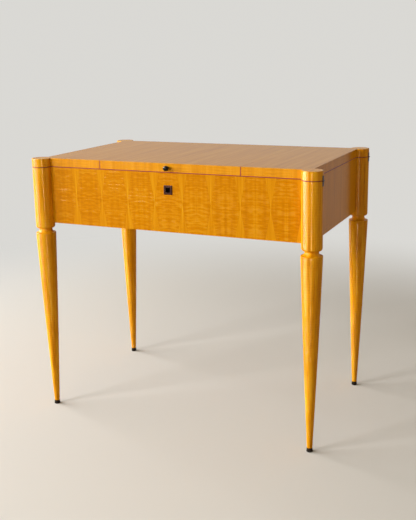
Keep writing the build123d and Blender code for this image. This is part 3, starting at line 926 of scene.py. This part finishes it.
def floor_finish():
    finish, tree = bare_finish("pale_floor")
    x, y, _ = split(tree, own(tree, "Object"))
    ray = tree.nodes.new("ShaderNodeLightPath").outputs
    fade = calc(tree, "MULTIPLY", between(tree, distance(tree, x, y), melts_from, melted_at),
                calc(tree, "MAXIMUM", ray["Is Camera Ray"], ray["Is Glossy Ray"]))
    outwards = vector(tree, "NORMALIZE", add(tree, "CombineXYZ", {"X": x, "Y": y}))
    level = add(tree, "Mix", {"Factor": ray["Is Glossy Ray"], "A": 1.0,
                              "B": room_level(tree, outwards)})
    colour = mix(tree, ray["Is Camera Ray"], opaque(floor_unseen), opaque(floor_seen))
    near = add(tree, "BsdfDiffuse", {"Color": colour})
    far = add(tree, "Emission", {"Color": opaque(wall), "Strength": level})
    above = add(tree, "MixShader", {0: fade, 1: near, 2: far})
    below = tree.nodes.new("ShaderNodeNewGeometry").outputs["Backfacing"]
    sides = add(tree, "MixShader", {0: below, 1: above, 2: add(tree, "BsdfTransparent", {})})
    fill(tree, tree.nodes.new("ShaderNodeOutputMaterial"), {"Surface": sides})
    return finish


shape = bmesh.new()
bmesh.ops.create_circle(shape, cap_ends=True, radius=floor_radius, segments=floor_sides)
mesh = bpy.data.meshes.new("floor")
shape.to_mesh(mesh)
shape.free()
mesh.materials.append(floor_finish())
floor = bpy.data.objects.new("floor", mesh)
bpy.context.scene.collection.objects.link(floor)
print(f"floor {2 * floor_radius:.0f} m across")

# %% [markdown]
# ## Lamps and cards
#
# Five soft lamps light the table. The window, large and far to the left, shapes the legs.
# The key, in front on the left, lights the front board, the warm fill in front opens the
# shade, a narrow strip near the viewer lifts the posts, and a weak warm lamp behind on the
# right keeps the far sides from going dead.
#
# The lids are seen almost along their surface, and would mirror a low lamp and turn white.
# So the lamps are hidden from reflections, and polish sees three glowing cards instead.
# Two hang high at the window and the key, and one is a narrow upright strip that draws the
# thin highlight down each leg.

# %% Helpers for lamps and cards
def facing(place, aim):
    """The turn that makes something at a place look at the aim."""
    return (Vector(aim) - Vector(place)).to_track_quat("-Z", "Y").to_euler()


def stand_up(name, data, place, aim):
    """Puts a lamp or a card at a place, turned to face the aim."""
    stand = bpy.data.objects.new(name, data)
    stand.location = place
    stand.rotation_euler = facing(place, aim)
    bpy.context.scene.collection.objects.link(stand)
    return stand


def soft_lamp(name, place, aim, width, tall, watts, colour):
    """A rectangular lamp that lights the wood, but isn't mirrored in it."""
    lamp = bpy.data.lights.new(name, "AREA")
    lamp.shape = "RECTANGLE"
    lamp.size = width
    lamp.size_y = tall
    lamp.energy = watts
    lamp.color = colour
    stand_up(name, lamp, place, aim).visible_glossy = False


def shine_card(name, place, aim, width, tall, strength, colour):
    """A glowing card that only polish and metal can see, like a curtained window."""
    glow, tree = bare_finish(name)
    light = add(tree, "Emission", {"Color": opaque(colour), "Strength": strength})
    fill(tree, tree.nodes.new("ShaderNodeOutputMaterial"), {"Surface": light})
    mesh = bpy.data.meshes.new(name)
    w, t = width / 2, tall / 2
    mesh.from_pydata([(-w, -t, 0), (w, -t, 0), (w, t, 0), (-w, t, 0)], [], [(0, 1, 2, 3)])
    mesh.materials.append(glow)
    card = stand_up(name, mesh, place, aim)
    card.visible_camera = False
    card.visible_diffuse = False
    card.visible_transmission = False
    card.visible_shadow = False


print("lamps and cards can be put up")

# %% Put them up
chest = (0.0, 0.0, 0.6)
white = (1.0, 1.0, 1.0)

# name, place, width, height, watts, colour
lamps = (
    ("window", (-5.33, -0.75, 1.74), 5.0, 2.6, 540.0, white),
    ("key", (-3.30, -4.10, 2.21), 1.6, 1.5, 172.0, white),
    ("fill", (-0.73, -5.21, 2.21), 3.5, 3.0, 80.0, (1.0, 0.92, 0.74)),
    ("strip", (0.64, -1.75, 0.90), 0.12, 1.0, 2.4, (1.0, 0.93, 0.78)),
    ("back", (4.66, 2.69, 1.74), 3.0, 2.4, 56.0, (1.0, 0.84, 0.55)),
)
for name, place, width, tall, watts, colour in lamps:
    soft_lamp(name, place, chest, width, tall, watts, colour)

# name, place, aim, width, height, strength, colour
cards = (
    ("window_card", (-5.40, -0.75, 3.80), (0.0, 0.0, 3.80), 5.4, 3.0, 16.0, white),
    ("key_card", (-3.60, -4.00, 3.60), (0.0, 0.0, 3.60), 2.2, 2.6, 6.0, white),
    ("strip_card", (0.66, -1.75, 1.55), chest, 0.10, 1.5, 26.0, (1.0, 0.84, 0.52)),
)
for card in cards:
    shine_card(*card)
print(f"{len(lamps)} lamps and {len(cards)} cards")
